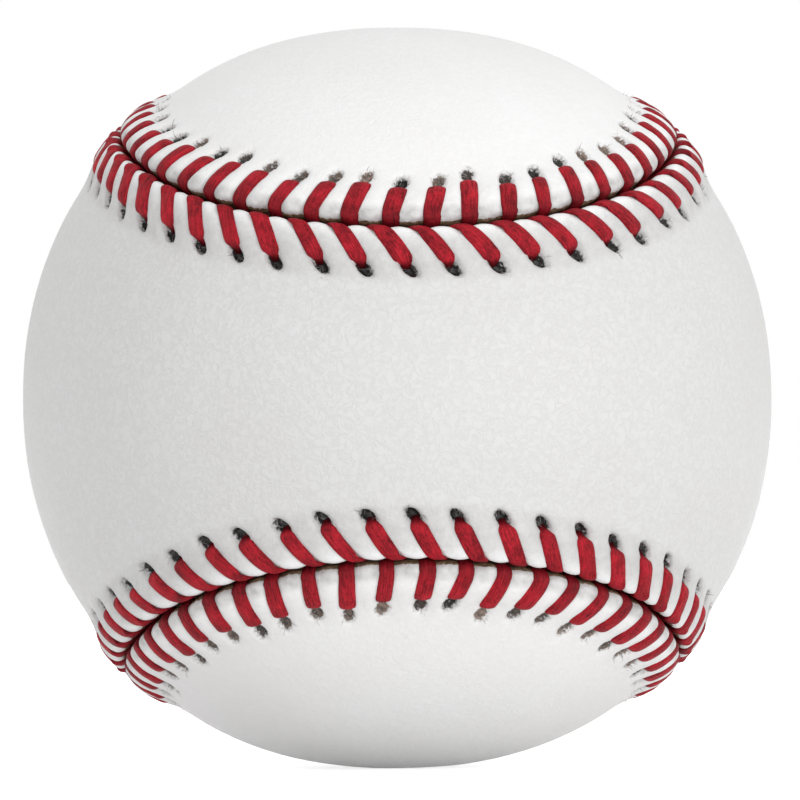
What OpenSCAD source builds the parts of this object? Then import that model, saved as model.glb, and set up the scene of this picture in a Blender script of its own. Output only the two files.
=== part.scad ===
// Baseball: a wound ball in a two-panel leather cover, sewn with two red threads.
// The origin is the ball's centre, +Z is up, and the front panel's waist faces -Y.
// The front panel's lobes point along X and the back panel's lobes along Z.

/* [Rubber centre] */
// Diameter of the core of cork and rubber
core_d = 20.6; // [16:0.2:24]
// Wall of the black rubber halves round the core
inner_rubber_t = 4; // [2.5:0.1:6]
// Thickness of the red ring that seals the two halves
gasket_t = 1.2; // [0.6:0.1:2]
// Wall of the red rubber layer
outer_rubber_t = 2.4; // [1.2:0.1:4]

/* [Windings] */
// Depth of the first winding, four-ply grey wool
first_winding_t = 14.4; // [13.4:0.1:15.4]
// Depth of the second winding, three-ply white wool
second_winding_t = 1.8; // [1:0.1:3]
// Depth of the third winding, three-ply grey wool
third_winding_t = 2.3; // [1:0.1:3.5]
// Depth of the finish winding, fine white cotton
finish_winding_t = 0.3; // [0.2:0.05:0.8]
// Thickness of the rubber cement coat
cement_t = 0.1; // [0.05:0.05:0.3]

/* [Leather cover] */
// Thickness of the leather
leather_t = 1.1; // [0.9:0.1:1.5]
// Free space between the round coat and the flat facets of the leather's inner face
lay_clearance = 0.2; // [0.2:0.05:0.3]
// Angle that a panel's waist spans, seen from the ball's centre
waist_angle = 49; // [46:0.5:52]
// Angle from the middle of a lobe's round end to the seam
lobe_angle = 44.7; // [43.5:0.1:45.5]
// Half of the angle that the round end sweeps about its middle
lobe_sweep = 63.5; // [60:0.5:67]
// Distance from the seam to the outer edge of its raised lip
lip_reach = 6.2; // [5.8:0.1:7]
// Distance from the seam to the crest of the lip
lip_crest = 1.5; // [1.2:0.1:1.9]
// Drop from the crest to the lip's rounded edge at the seam
lip_edge_drop = 0.6; // [0.4:0.05:0.8]

/* [Stitching] */
// Number of stitches in each panel's edge
stitch_count = 108; // [104:2:112]
// Distance from the seam to the stitch holes
hole_offset = 4.4; // [4:0.1:4.6]
// Width of the thread, pressed flat
thread_w = 1; // [0.8:0.05:1.1]
// Thickness of the thread, pressed flat
thread_t = 0.5; // [0.4:0.05:0.6]
// Free space between the thread and the leather
thread_clearance = 0.08; // [0.05:0.01:0.12]
// How far a front stitch leans along the seam, from crossing to hole
front_lean = 3.3; // [2.8:0.1:3.5]
// How far a back stitch leans along the seam, from crossing to hole
back_lean = 0.8; // [0.2:0.1:1.2]
// Distance along the seam from a front stitch's crossing to the next back one
crossing_step = 1.4; // [1.3:0.05:1.6]
// Distance from the seam's left joint point to the first front stitch's crossing
first_crossing = 2; // [0:0.1:3.7]

/* [Hidden] */

$fn = 120;

// Radii of the layers, from the core out
core_r = core_d / 2;
inner_rubber_r = core_r + inner_rubber_t;
inner_rubber_d = 2 * inner_rubber_r;
outer_rubber_r = inner_rubber_r + outer_rubber_t;
first_winding_r = outer_rubber_r + first_winding_t;
second_winding_r = first_winding_r + second_winding_t;
third_winding_r = second_winding_r + third_winding_t;
finish_winding_r = third_winding_r + finish_winding_t;
cement_r = finish_winding_r + cement_t;
ball_r = cement_r + lay_clearance + leather_t;

// Degrees at the centre for each millimetre over the leather
deg_per_mm = 180 / (PI * ball_r);

// The seam is one closed line of four like quarters, each of three arcs of small circles.
// The first quarter passes over the front panel's waist, from the left to the right.
// A joint point is where two quarters meet: there the seam turns its curve the other way.
waist_half = waist_angle / 2;
joint_point = [sqrt(1/2), 0, sqrt(1/2)];

function unit(v) = v / norm(v);
function across(v, axis) = unit(v - (v * axis) * axis);
function mirror_x(v) = [-v.x, v.y, v.z];

// Middle arc: axis through the middle of the lobe's round end
mid_axis = [0, -cos(waist_half + lobe_angle), sin(waist_half + lobe_angle)];
mid_zero = across([0, -cos(waist_half), sin(waist_half)], mid_axis);
mid_end = cos(lobe_angle) * mid_axis
    + sin(lobe_angle) * (cos(lobe_sweep) * mid_zero + sin(lobe_sweep) * cross(mid_axis, mid_zero));

// End arc: leaves the middle arc without a kink and ends at the joint point
end_inward = across(mid_axis, mid_end);
end_angle = atan2(1 - mid_end * joint_point, end_inward * joint_point);
end_axis = cos(end_angle) * mid_end + sin(end_angle) * end_inward;
end_zero = across(mid_end, end_axis);
end_sweep = atan2(joint_point * cross(end_axis, end_zero), joint_point * end_zero);

// An arc is its axis, the direction of its zero azimuth, its angle from the axis,
// and its first and last azimuth
left_arc = [mirror_x(end_axis), mirror_x(end_zero), end_angle, -end_sweep, 0];
middle_arc = [mid_axis, mid_zero, lobe_angle, -lobe_sweep, lobe_sweep];
right_arc = [end_axis, end_zero, end_angle, 0, end_sweep];
quarter_arcs = [left_arc, middle_arc, right_arc];

function arc_length(arc) = (arc[4] - arc[3]) * sin(arc[2]) / deg_per_mm;
end_length = arc_length(right_arc);
middle_length = arc_length(middle_arc);
quarter_length = 2 * end_length + middle_length;
seam_length = 4 * quarter_length;
pitch = seam_length / stitch_count;

// The lip rises because the thread runs under it, and is flat as far as its crest
function lip_share(d) =
    d <= lip_crest ? 1 : max(0, 1 - pow((d - lip_crest) / (lip_reach - lip_crest), 2));
lip_rise = (thread_t + 2 * thread_clearance) / lip_share(hole_offset);
seam_gap_half = thread_t / 2 + thread_clearance;
hole_d = thread_w + 2 * thread_clearance;

// Distances from the seam of the rows of corners on a panel's outer and inner face
edge_turn = 45;
outer_rows = [
    seam_gap_half,
    lip_crest - (lip_crest - seam_gap_half) * cos(edge_turn),
    lip_crest,
    hole_offset - hole_d / 2,
    hole_offset + hole_d / 2,
    lip_reach
];
inner_rows = [seam_gap_half, hole_offset - hole_d / 2, hole_offset + hole_d / 2, lip_reach];
outer_hole_row = 3;
inner_hole_row = 1;

// Columns of corners along the seam, two for each hole, and the lines that cross
// a panel from one side of the seam to the other, each in this many steps
column_count = 2 * stitch_count;
line_count = stitch_count / 2;
line_steps = 10;

// Radius of the thread's middle line under the leather, and its height above a lip
under_r = cement_r + thread_clearance + thread_t / 2;
over_lift = thread_t / 2 + 1.5 * thread_clearance;
thread_sides = 4;

// One quarter turned to the next, which also swaps the two panels
next_quarter = [[0, 0, 1], [0, -1, 0], [-1, 0, 0]];
function to_quarter(v, q) = q <= 0 ? v : to_quarter(next_quarter * v, q - 1);

// The arc and azimuth at a distance u along the first quarter
function arc_number(u) = u < end_length ? 0 : u < end_length + middle_length ? 1 : 2;
arc_starts = [0, end_length, end_length + middle_length];

// Place on the seam, s along it from the left joint point: quarter, arc, azimuth
function seam_place(s) =
    let (turn = s - seam_length * floor(s / seam_length))
    let (q = min(3, floor(turn / quarter_length)))
    let (u = turn - q * quarter_length)
    let (i = arc_number(u))
    let (arc = quarter_arcs[i])
    [q, arc, arc[3] + (u - arc_starts[i]) * deg_per_mm / sin(arc[2])];

// Direction at distance d from the seam, positive on the front panel's side
function seam_direction(s, d) =
    let (place = seam_place(s))
    let (arc = place[1])
    let (polar = arc[2] + (place[0] % 2 == 0 ? d : -d) * deg_per_mm)
    let (flat = cos(place[2]) * arc[1] + sin(place[2]) * cross(arc[0], arc[1]))
    to_quarter(cos(polar) * arc[0] + sin(polar) * flat, place[0]);

// Unit vector along the seam
function seam_along(s) =
    let (place = seam_place(s))
    let (arc = place[1])
    to_quarter(cos(place[2]) * cross(arc[0], arc[1]) - sin(place[2]) * arc[1], place[0]);

// Unit vector across the seam, towards the front panel
function seam_across(s, d) =
    let (out = seam_direction(s, d))
    let (side = cross(out, seam_along(s)))
    side * sign(side * (seam_direction(s, d + 1) - out));

// Crossings and holes of stitch k on each side
function front_crossing(k) = first_crossing + k * pitch;
function back_crossing(k) = front_crossing(k) + crossing_step;
function front_hole(k) = front_crossing(k) + front_lean;
function back_hole(k) = back_crossing(k) + back_lean;

// How much longer a line at distance d from the seam is than the seam
function seam_stretch(s, d) =
    let (place = seam_place(s))
    let (polar = place[1][2] + (place[0] % 2 == 0 ? d : -d) * deg_per_mm)
    sin(polar) / sin(place[1][2]);

module spherical_shell(inner_r, outer_r) {
    difference() {
        sphere(outer_r);
        sphere(inner_r);
    }
}

// Radius of a panel's outer and inner face at distance d from the seam
function edge_share(d) = d < lip_crest ? (lip_crest - d) / (lip_crest - seam_gap_half) : 0;
function edge_drop(d) = lip_edge_drop * (1 - sqrt(1 - pow(edge_share(d), 2)));
function outer_face(d) = ball_r + lip_rise * lip_share(d) - edge_drop(d);
function inner_face(d) = cement_r + lay_clearance + lip_rise * lip_share(d);

// Point on the sphere at a share of the way from direction v to direction w
function between(v, w, share) =
    let (angle = acos(v * w))
    (sin((1 - share) * angle) * v + sin(share * angle) * w) / sin(angle);

function two_triangles(a, b, c, d) = [[a, b, c], [a, c, d]];

// One panel of the cover, on side 1 of the seam or on side -1, with a hole for each stitch.
// Its corners lie in rows along the seam, then along the lines that cross the panel.
module leather_panel(side, holes) {
    function column_place(c) =
        let (hole = holes[floor(c / 2)])
        hole + (c % 2 == 0 ? -1 : 1) * hole_d / 2 / seam_stretch(hole, side * hole_offset);
    columns = [for (c = [0 : column_count - 1]) column_place(c)];

    // The first line leaves from the first even column past the tip of a lobe
    tip = (side > 0 ? 1.5 : 0.5) * quarter_length;
    first = ceil((tip - columns[0]) / pitch);
    function line_start(j) = 2 * (first + j);
    function line_end(j) = 2 * (first - 1 - j);

    function wrapped(c) = (c + 2 * column_count) % column_count;
    function outer(row, c) = row * column_count + wrapped(c);
    function inner(row, c) = (len(outer_rows) + row) * column_count + wrapped(c);
    line_base = (len(outer_rows) + len(inner_rows)) * column_count;
    // Face 0 is the outer one and face 1 the inner one
    function rim(face, c) = face == 0 ? outer(len(outer_rows) - 1, c) : inner(len(inner_rows) - 1, c);
    function on_line(face, j, m) =
        m == 0 ? rim(face, line_start(j))
        : m == line_steps ? rim(face, line_end(j))
        : line_base + (face * line_count + j) * (line_steps - 1) + m - 1;

    points = concat(
        [for (d = outer_rows) for (s = columns) outer_face(d) * seam_direction(s, side * d)],
        [for (d = inner_rows) for (s = columns) inner_face(d) * seam_direction(s, side * d)],
        [
            for (radius = [outer_face(lip_reach), inner_face(lip_reach)])
                for (j = [0 : line_count - 1])
                    let (start = seam_direction(columns[wrapped(line_start(j))], side * lip_reach))
                    let (end = seam_direction(columns[wrapped(line_end(j))], side * lip_reach))
                    for (m = [1 : line_steps - 1]) radius * between(start, end, m / line_steps)
        ]
    );

    function is_hole(row, hole_row, c) = row == hole_row && c % 2 == 0;
    outer_strips = [
        for (row = [0 : len(outer_rows) - 2]) for (c = [0 : column_count - 1])
            if (!is_hole(row, outer_hole_row, c))
                each two_triangles(
                    outer(row, c), outer(row, c + 1), outer(row + 1, c + 1), outer(row + 1, c)
                )
    ];
    inner_strips = [
        for (row = [0 : len(inner_rows) - 2]) for (c = [0 : column_count - 1])
            if (!is_hole(row, inner_hole_row, c))
                each two_triangles(
                    inner(row, c), inner(row + 1, c), inner(row + 1, c + 1), inner(row, c + 1)
                )
    ];
    cut_edge = [
        for (c = [0 : column_count - 1])
            each two_triangles(outer(0, c), inner(0, c), inner(0, c + 1), outer(0, c + 1))
    ];
    hole_walls = [
        for (k = [0 : stitch_count - 1])
            let (c = 2 * k)
            let (hole_corners = [[0, 0], [0, 1], [1, 1], [1, 0]])
            for (i = [0 : 3])
                let (from = hole_corners[i])
                let (to = hole_corners[(i + 1) % len(hole_corners)])
                each two_triangles(
                    outer(outer_hole_row + from[0], c + from[1]), outer(outer_hole_row + to[0], c + to[1]),
                    inner(inner_hole_row + to[0], c + to[1]), inner(inner_hole_row + from[0], c + from[1])
                )
    ];
    // The field inside the rim: a triangle at each odd column, strips between the lines,
    // and a fan at each tip
    function field(face) = concat(
        [
            for (j = [0 : line_count - 2]) for (c = [line_start(j), line_end(j + 1)])
                [rim(face, c), rim(face, c + 1), rim(face, c + 2)]
        ],
        [
            for (j = [0 : line_count - 2]) for (m = [0 : line_steps - 1])
                each two_triangles(
                    on_line(face, j, m), on_line(face, j + 1, m),
                    on_line(face, j + 1, m + 1), on_line(face, j, m + 1)
                )
        ],
        [
            for (m = [0 : line_steps - 1])
                [on_line(face, 0, m), on_line(face, 0, m + 1), rim(face, line_end(0) + 1)]
        ],
        [
            for (m = [0 : line_steps - 1])
                [
                    on_line(face, line_count - 1, m + 1), on_line(face, line_count - 1, m),
                    rim(face, line_start(line_count - 1) + 1)
                ]
        ]
    );
    faces = concat(
        outer_strips, inner_strips, cut_edge, hole_walls,
        field(0),
        [for (f = field(1)) [f[0], f[2], f[1]]]
    );
    polyhedron(points, side > 0 ? faces : [for (f = faces) [f[0], f[2], f[1]]]);
}

module front_leather_panel() {
    color("ivory") leather_panel(1, [for (k = [0 : stitch_count - 1]) front_hole(k)]);
}

module back_leather_panel() {
    color("whitesmoke") leather_panel(-1, [for (k = [0 : stitch_count - 1]) back_hole(k)]);
}

// Middle line of one stitch, from under its hole, over the lip and down the seam.
// Each ring is a place (distance along, distance across, radius) and the way its width lies.
function stitch_rings(from, hole, crossing, side) =
    let (d = side * hole_offset)
    let (crest_d = side * lip_crest)
    let (half_d = (d + crest_d) / 2)
    let (over_way = [hole_offset, side * (crossing - hole)])
    let (under_way = [hole_offset, side * (from - hole)])
    [
        [[hole, d, under_r], under_way],
        [[hole, d, ball_r + lip_rise * lip_share(hole_offset) + over_lift], over_way],
        [[hole + (crossing - hole) * (1 - half_d / d), half_d,
            ball_r + lip_rise * lip_share(abs(half_d)) + over_lift], over_way],
        [[hole + (crossing - hole) * (1 - crest_d / d), crest_d, ball_r + lip_rise + over_lift], over_way],
        [[crossing, 0, ball_r + lip_rise], [1, 0]],
        [[crossing, 0, under_r], [1, 0]]
    ];

// A thread sews front and back stitches in turn, against the direction of the seam.
// The first thread takes the even front stitches, the second the odd ones.
function thread_rings(first) = [
    for (i = [0 : stitch_count - 1])
        let (k = first - i)
        each (i % 2 == 0
            ? stitch_rings(back_crossing(k + 1), front_hole(k), front_crossing(k), 1)
            : stitch_rings(front_crossing(k + 1), back_hole(k), back_crossing(k), -1))
];

// Closed flat tube along the rings, with mitred corners
module thread(first) {
    rings = thread_rings(first);
    count = len(rings);
    middles = [for (ring = rings) ring[0][2] * seam_direction(ring[0][0], ring[0][1])];
    points = [
        for (i = [0 : count - 1])
            let (place = rings[i][0])
            let (way = rings[i][1])
            let (before = unit(middles[i] - middles[(i + count - 1) % count]))
            let (after = unit(middles[(i + 1) % count] - middles[i]))
            let (heading = unit(before + after))
            let (along = seam_along(place[0]))
            let (wide = across(way[0] * along + way[1] * seam_across(place[0], place[1]), heading))
            let (thick = cross(heading, wide) / (heading * after))
            for (j = [0 : thread_sides - 1])
                middles[i] + thread_w / 2 * cos(360 * j / thread_sides) * wide
                    + thread_t / 2 * sin(360 * j / thread_sides) * thick
    ];
    function corner(i, j) = (i % count) * thread_sides + j % thread_sides;
    polyhedron(points, [
        for (i = [0 : count - 1]) for (j = [0 : thread_sides - 1])
            each [
                [corner(i, j), corner(i + 1, j), corner(i + 1, j + 1)],
                [corner(i, j), corner(i + 1, j + 1), corner(i, j + 1)]
            ]
    ]);
}

module first_stitch_thread() {
    color("firebrick") thread(0);
}

module second_stitch_thread() {
    color("crimson") thread(1);
}

module cork_core() {
    color("peru") sphere(core_r);
}

module inner_rubber_upper_half() {
    color("black")
    rotate_extrude() intersection() {
        difference() {
            circle(inner_rubber_r);
            circle(core_r);
        }
        translate([0, gasket_t / 2]) square(inner_rubber_d);
    }
}

module inner_rubber_lower_half() {
    color("dimgray") mirror([0, 0, 1]) inner_rubber_upper_half();
}

module rubber_gasket_ring() {
    color("tomato")
    rotate_extrude() intersection() {
        difference() {
            circle(inner_rubber_r);
            circle(core_r);
        }
        translate([0, -gasket_t / 2]) square([inner_rubber_d, gasket_t]);
    }
}

module outer_rubber_layer() {
    color("red") spherical_shell(inner_rubber_r, outer_rubber_r);
}

module first_wool_winding() {
    color("gray") spherical_shell(outer_rubber_r, first_winding_r);
}

module second_wool_winding() {
    color("gainsboro") spherical_shell(first_winding_r, second_winding_r);
}

module third_wool_winding() {
    color("darkgray") spherical_shell(second_winding_r, third_winding_r);
}

module finish_cotton_winding() {
    color("floralwhite") spherical_shell(third_winding_r, finish_winding_r);
}

module rubber_cement_coat() {
    color("wheat") spherical_shell(finish_winding_r, cement_r);
}

cork_core();
inner_rubber_upper_half();
inner_rubber_lower_half();
rubber_gasket_ring();
outer_rubber_layer();
first_wool_winding();
second_wool_winding();
third_wool_winding();
finish_cotton_winding();
rubber_cement_coat();
front_leather_panel();
back_leather_panel();
first_stitch_thread();
second_stitch_thread();
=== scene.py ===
"""Baseball: sculpted leather panels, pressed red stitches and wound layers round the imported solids."""

import math

import bpy
import numpy as np
from bpy.props import FloatProperty, FloatVectorProperty, IntProperty, PointerProperty
from mathutils import Matrix, Vector


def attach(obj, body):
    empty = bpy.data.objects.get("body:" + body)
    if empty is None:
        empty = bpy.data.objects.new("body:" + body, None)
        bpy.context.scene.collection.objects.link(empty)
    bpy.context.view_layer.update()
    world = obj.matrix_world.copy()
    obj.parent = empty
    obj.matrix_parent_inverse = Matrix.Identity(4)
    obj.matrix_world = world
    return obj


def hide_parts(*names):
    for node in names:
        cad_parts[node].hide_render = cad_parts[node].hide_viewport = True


bl_info = {
    "name": "Stitched Leather Ball",
    "version": (1, 0, 0),
    "blender": (4, 5, 0),
    "location": "3D View > Sidebar > Stitched Ball",
    "description": "Dresses a wound ball in two leather panels sewn with raised red stitches",
    "category": "Add Mesh",
}

MM = 0.001
# Small step by which slopes and directions are taken
STEP = 0.1 * MM
BODY = "root"

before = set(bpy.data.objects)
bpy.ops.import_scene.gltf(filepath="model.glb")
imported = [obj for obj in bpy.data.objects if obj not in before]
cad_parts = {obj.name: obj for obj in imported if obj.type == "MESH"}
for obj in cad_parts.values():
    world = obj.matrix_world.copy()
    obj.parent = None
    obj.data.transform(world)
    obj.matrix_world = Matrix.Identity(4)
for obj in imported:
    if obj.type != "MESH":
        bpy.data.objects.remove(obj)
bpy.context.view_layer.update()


# Settings


def setting(name, description, value, **more):
    return FloatProperty(name=name, description=description, default=value, **more)


def length(name, description, millimetres):
    return setting(name, description, millimetres * MM, min=0.0, unit="LENGTH", subtype="DISTANCE",
                   precision=5)


def angle(name, description, degrees):
    return setting(name, description, math.radians(degrees), unit="ROTATION", subtype="ANGLE")


def share(name, description, value, highest=1.0):
    return setting(name, description, value, min=0.0, max=highest, subtype="FACTOR")


def power(name, description, watts):
    return setting(name, description, watts, min=0.0, unit="POWER", subtype="POWER")


def colour(name, description, red, green, blue):
    return FloatVectorProperty(name=name, description=description, default=(red, green, blue),
                               subtype="COLOR", size=3, min=0.0, max=1.0)


class SeamSettings(bpy.types.PropertyGroup):
    ball_radius: length("Ball radius", "Radius over the leather, away from the lips", 36.9)
    waist_angle: angle("Waist angle", "Angle that a panel's waist spans", 49)
    lobe_angle: angle("Lobe angle", "Angle from the middle of a lobe's round end to the seam", 44.7)
    lobe_sweep: angle("Lobe sweep", "Half of the angle that the round end sweeps", 63.5)
    stitch_count: IntProperty(name="Stitches", description="Stitches in each edge", default=108, min=8)
    first_crossing: length("First crossing", "From the seam's left joint point to a front stitch", 2.45)
    crossing_step: length("Crossing step", "From a front stitch's crossing to the next back one", 0.85)
    front_lean: length("Front lean", "How far a front stitch leans along the seam", 3.3)
    back_lean: length("Back lean", "How far a back stitch leans along the seam", 1.15)
    front_reach: length("Front reach", "From the seam to where a front stitch goes down", 4.27)
    back_reach: length("Back reach", "From the seam to where a back stitch goes down", 4.55)
    back_stretch: share("Back stretch", "Share that back stitches are longer half way round the seam", 0.05)
    drift: length("Drift", "How far the seam strays to the back panel half way round", 0.28)


class LeatherSettings(bpy.types.PropertyGroup):
    thickness: length("Thickness", "Thickness of the leather", 1.1)
    seam_rise: length("Seam rise", "How far the ball is fuller near the seam", 0.33)
    front_sink: length("Front sink", "How far the ball is flatter in the front panel's lobes", 0.03)
    back_sink: length("Back sink", "How far the ball is flatter in the back panel's lobes", 0.42)
    lip_height: length("Lip height", "Height of the raised lip over the ball beside it", 0.8)
    lip_reach: length("Lip reach", "From the edge to the end of the lip", 7)
    slit_width: length("Slit width", "Gap between the two panels", 0.36)
    scallop: length("Scallop", "How far the edge draws back at each stitch", 0.28)
    pillow_height: length("Pillow height", "How far the leather swells between stitches", 0.55)
    front_hole_width: length("Front hole width", "Width of a front stitch's hole", 1.15)
    back_hole_width: length("Back hole width", "Width of a back stitch's hole", 1.3)
    hole_length: length("Hole length", "Length of a stitch hole", 1.4)
    hole_depth: length("Hole depth", "Depth of a stitch hole", 1.0)
    unevenness: length("Unevenness", "Height of the leather's slow swells", 0.07)
    skin: colour("Skin", "Colour of the leather's face", 0.85, 0.85, 0.85)
    front_tone: share("Front tone", "Lightness of the front panel beside the back one's", 0.8)
    # The soil colour is both real grime and the tint of painted shade in the wrinkles, beside the stitches
    # and under the front panel's lip
    soil_and_shade: colour("Soil", "Colour that gathers beside the stitches", 0.36, 0.35, 0.34)
    flesh: colour("Cut edge", "Colour of the cut edge", 0.34, 0.22, 0.13)
    # The hole colour is painted shade: near black inside the deep stitch holes
    pit: colour("Hole", "Colour inside the stitch holes", 0.012, 0.011, 0.010)


class ThreadSettings(bpy.types.PropertyGroup):
    width: length("Width", "Width of a stitch, pressed flat", 1.7)
    thickness: length("Thickness", "Thickness of a stitch, pressed flat", 0.62)
    hole_share: share("Width at the hole", "Share of the width that is left at the hole", 0.72)
    wander: length("Wander", "How far a stitch strays from its even place", 0.16)
    slackening: share("Slackening", "Share of their lean that stitches have lost half way round", 0.15)
    creep: length("Creep", "How far the stitches have crept half way round the seam", 1.1)
    # The bright and dark fibres are lit and shaded copies of one red: painted light on the upper fibres,
    # painted shade between them
    bright: colour("Bright fibres", "Colour of the upper fibres", 0.57, 0.017, 0.032)
    dark: colour("Dark fibres", "Colour between the fibres", 0.085, 0.002, 0.005)
    seed: IntProperty(name="Seed", description="Seed of the stitches' small differences", default=7)


class FibreSettings(bpy.types.PropertyGroup):
    per_hole: IntProperty(name="Fibres", description="Torn leather fibres at each hole", default=9, min=0)
    size: length("Length", "Length of a fibre", 0.75)
    thickness: length("Thickness", "Thickness of a fibre at its root", 0.07)
    pale: colour("Pale fibres", "Colour of the lightest torn fibres", 0.62, 0.60, 0.57)
    brown: colour("Brown fibres", "Colour of the darkest torn fibres", 0.21, 0.155, 0.125)


class LayerSettings(bpy.types.PropertyGroup):
    cork: colour("Cork", "Colour of the core's cork", 0.32, 0.17, 0.075)
    black_rubber: colour("Black rubber", "Colour of the half shells", 0.02, 0.02, 0.022)
    red_rubber: colour("Red rubber", "Colour of the gasket and the outer layer", 0.28, 0.022, 0.018)
    grey_wool: colour("Grey wool", "Colour of the four-ply and three-ply grey yarn", 0.20, 0.20, 0.205)
    white_wool: colour("White wool", "Colour of the white yarn", 0.66, 0.62, 0.54)
    cotton: colour("Cotton", "Colour of the finish yarn", 0.74, 0.72, 0.66)
    cement: colour("Cement", "Colour of the rubber cement", 0.50, 0.40, 0.22)
    yarn_width: length("Yarn width", "Width of one turn of wool", 1.3)


class StageSettings(bpy.types.PropertyGroup):
    camera_distance: length("Camera distance", "From the camera to the ball's centre", 627)
    azimuth: angle("Azimuth", "Turn of the camera round the ball", -2.7)
    elevation: angle("Elevation", "Height of the camera over the ball's middle", -0.98)
    roll: angle("Roll", "Turn of the camera about its own axis", 0.41)
    ball_share: share("Ball in frame", "Ball's diameter as a share of the picture's width", 0.936)
    floor_size: length("Floor size", "Side of the floor", 3000)
    room_light: share("Room light", "Strength of the even light from all sides", 0.82, 4.0)
    top_power: power("Top lamp", "Power of the lamp above the ball", 0.33)
    front_power: power("Front lamp", "Power of the lamp behind the camera", 4.2)
    right_power: power("Right lamp", "Power of the lamp to the camera's right", 4.2)


SETTINGS = {"ball_seam": SeamSettings, "ball_leather": LeatherSettings, "ball_thread": ThreadSettings,
            "ball_fibres": FibreSettings, "ball_layers": LayerSettings, "ball_stage": StageSettings}


# The seam

# Distance along the seam, at the middle of the upper seam, at which neither seam nor stitches have strayed
START = 50 * MM
# Share of the creep by which the stitches also sway twice on their way round
SWAY = 0.42
# Middle line of a stitch from the slit to its hole. The distance along, as a share of the lean, is a sum of
# these amounts times powers of the distance across, as a share of the stitch's reach.
FRONT_COURSE = (-0.09, 1.12, -0.22)
BACK_COURSE = (-0.10, 1.10, 0.0)
# How far the middle of a stitch's hole lies beyond the place where the stitch goes down
FRONT_HOLE_SHIFT = 0.12 * MM
BACK_HOLE_SHIFT = 0.3 * MM
# How much single stitches differ, in wanders, and in widths as a share of the width
CROSSING_STRAY, LEAN_STRAY, FRONT_REACH_STRAY, BACK_REACH_STRAY = 0.35, 0.8, 0.7, 1.8
WIDTH_STRAY = 0.07
# How frayed the most frayed front hole is, where the worst back hole is 1
FRONT_FRAY = 0.4


def unit(vectors):
    return vectors / np.linalg.norm(vectors, axis=-1, keepdims=True)


def square_to(vector, axis):
    return unit(vector - np.dot(vector, axis) * axis)


class Seam:
    """The closed line on which the panels meet: four like quarters, each of three arcs of small circles."""

    NEXT_QUARTER = np.array([[0, 0, 1], [0, -1, 0], [-1, 0, 0]], float)

    def __init__(self, sizes):
        self.radius = sizes.ball_radius
        waist = sizes.waist_angle / 2
        lobe = sizes.lobe_angle
        sweep = sizes.lobe_sweep
        joint = np.array([math.sqrt(0.5), 0, math.sqrt(0.5)])
        middle_axis = np.array([0, -math.cos(waist + lobe), math.sin(waist + lobe)])
        middle_zero = square_to(np.array([0, -math.cos(waist), math.sin(waist)]), middle_axis)
        middle_end = math.cos(lobe) * middle_axis + math.sin(lobe) * (
            math.cos(sweep) * middle_zero + math.sin(sweep) * np.cross(middle_axis, middle_zero))
        inward = square_to(middle_axis, middle_end)
        end_angle = math.atan2(1 - middle_end @ joint, inward @ joint)
        end_axis = math.cos(end_angle) * middle_end + math.sin(end_angle) * inward
        end_zero = square_to(middle_end, end_axis)
        end_sweep = math.atan2(joint @ np.cross(end_axis, end_zero), joint @ end_zero)
        mirror = np.array([-1, 1, 1])
        # Each arc: axis, zero direction, angle from the axis, first azimuth, last azimuth
        self.arcs = (
            (mirror * end_axis, mirror * end_zero, end_angle, -end_sweep, 0.0),
            (middle_axis, middle_zero, lobe, -sweep, sweep),
            (end_axis, end_zero, end_angle, 0.0, end_sweep),
        )
        lengths = [(last - first) * math.sin(polar) * self.radius for _, _, polar, first, last in self.arcs]
        self.starts = np.concatenate([[0], np.cumsum(lengths)])
        self.quarter = self.starts[3]
        self.length = 4 * self.quarter
        self.pitch = self.length / sizes.stitch_count
        self.turns = [np.linalg.matrix_power(self.NEXT_QUARTER, q) for q in range(4)]
        self.drift = sizes.drift
        self.lobe_reach = lobe * self.radius

    def half_way(self, along):
        """How near a place is to half way round: 0 at the upper seam's middle, 1 at the lower seam's."""
        return 0.5 - 0.5 * np.cos(math.tau * (along - START) / self.length)

    def wrapped(self, distance):
        """A distance along the seam, the short way round."""
        return (distance + self.length / 2) % self.length - self.length / 2

    def direction(self, along, across):
        """Unit vectors at a distance along the seam and across it, positive on the front panel."""
        along, across = np.broadcast_arrays(np.asarray(along, float), np.asarray(across, float))
        across = across - self.drift * self.half_way(along)
        along = np.mod(along, self.length)
        quarter = np.minimum(3, (along / self.quarter).astype(int))
        rest = along - quarter * self.quarter
        arc_number = np.searchsorted(self.starts[1:3], rest, side="right")
        result = np.zeros(along.shape + (3,))
        for q in range(4):
            for place, (axis, zero, polar, first, _) in enumerate(self.arcs):
                here = (quarter == q) & (arc_number == place)
                if not here.any():
                    continue
                azimuth = first + (rest[here] - self.starts[place]) / (self.radius * math.sin(polar))
                tilt = polar + (1 if q % 2 == 0 else -1) * across[here] / self.radius
                flat = np.cos(azimuth)[:, None] * zero + np.sin(azimuth)[:, None] * np.cross(axis, zero)
                vector = np.cos(tilt)[:, None] * axis + np.sin(tilt)[:, None] * flat
                result[here] = vector @ self.turns[q].T
        return result


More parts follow.
